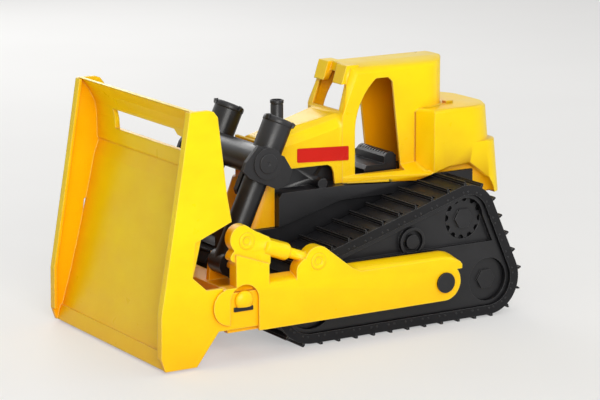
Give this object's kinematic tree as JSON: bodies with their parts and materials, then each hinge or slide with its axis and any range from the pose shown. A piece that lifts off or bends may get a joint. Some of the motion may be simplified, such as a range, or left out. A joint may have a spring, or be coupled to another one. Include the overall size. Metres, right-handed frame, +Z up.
{
  "type": "toy bulldozer",
  "caption": "Toy crawler bulldozer with raised-sprocket tracks, open cab, telescoping lift cylinders on a swinging yoke and a slotted blade that lifts on push arms.",
  "frame": {"origin": "on the floor below the middle of the overall length and width", "axes": "+X forward, towards the blade; +Y to the machine's left; +Z up"},
  "size_m": [0.367, 0.204, 0.2145],
  "materials": {
    "yellow_plastic": "moulded, softly glossy",
    "black_plastic": "moulded, satin",
    "track_plastic": "moulded, dull"
  },
  "bodies": {
    "chassis": {"body_shell": "yellow_plastic", "front_guard": "yellow_plastic", "chassis": "black_plastic", "seat": "black_plastic", "exhaust_stack": "black_plastic", "yoke_knuckle": "black_plastic", "yoke_pin": "black_plastic", "track_left": "track_plastic", "track_right": "track_plastic", "track_frame_left": "black_plastic", "track_frame_right": "black_plastic", "front_idler_left": "black_plastic", "front_idler_right": "black_plastic", "sprocket_left": "black_plastic", "sprocket_right": "black_plastic", "rear_idler_left": "black_plastic", "rear_idler_right": "black_plastic", "trunnion_left": "black_plastic", "trunnion_right": "black_plastic"},
    "blade_frame": {"blade": "yellow_plastic", "push_beam": "yellow_plastic", "push_arm_left": "yellow_plastic", "push_arm_right": "yellow_plastic", "ball_pin_left": "yellow_plastic", "ball_pin_right": "yellow_plastic"},
    "lift_yoke": {"lift_yoke": "black_plastic"},
    "lift_rod_left": {"lift_rod_left": "black_plastic"},
    "lift_rod_right": {"lift_rod_right": "black_plastic"}
  },
  "joints": [
    {"name": "blade_lift", "type": "hinge", "parent": "chassis", "child": "blade_frame", "pos_m": [-0.082, 0, 0.04], "axis": [0, -1, 0], "range_deg": [0, 12]},
    {"name": "yoke_tilt", "type": "hinge", "parent": "chassis", "child": "lift_yoke", "pos_m": [0.062, 0, 0.148], "axis": [0, -1, 0], "range_deg": [0, 8]},
    {"name": "rod_slide_left", "type": "slide", "parent": "lift_yoke", "child": "lift_rod_left", "axis": [-0.4195, 0, 0.9078], "range_m": [0, 0.038]},
    {"name": "rod_slide_right", "type": "slide", "parent": "lift_yoke", "child": "lift_rod_right", "axis": [-0.4195, 0, 0.9078], "range_m": [0, 0.038]}
  ],
  "couplings": [
    {"joint": "yoke_tilt", "follows": "blade_lift", "ratio": 0.61455},
    {"joint": "rod_slide_left", "follows": "blade_lift", "m_per_rad": 0.17597},
    {"joint": "rod_slide_right", "follows": "blade_lift", "m_per_rad": 0.17597}
  ]
}
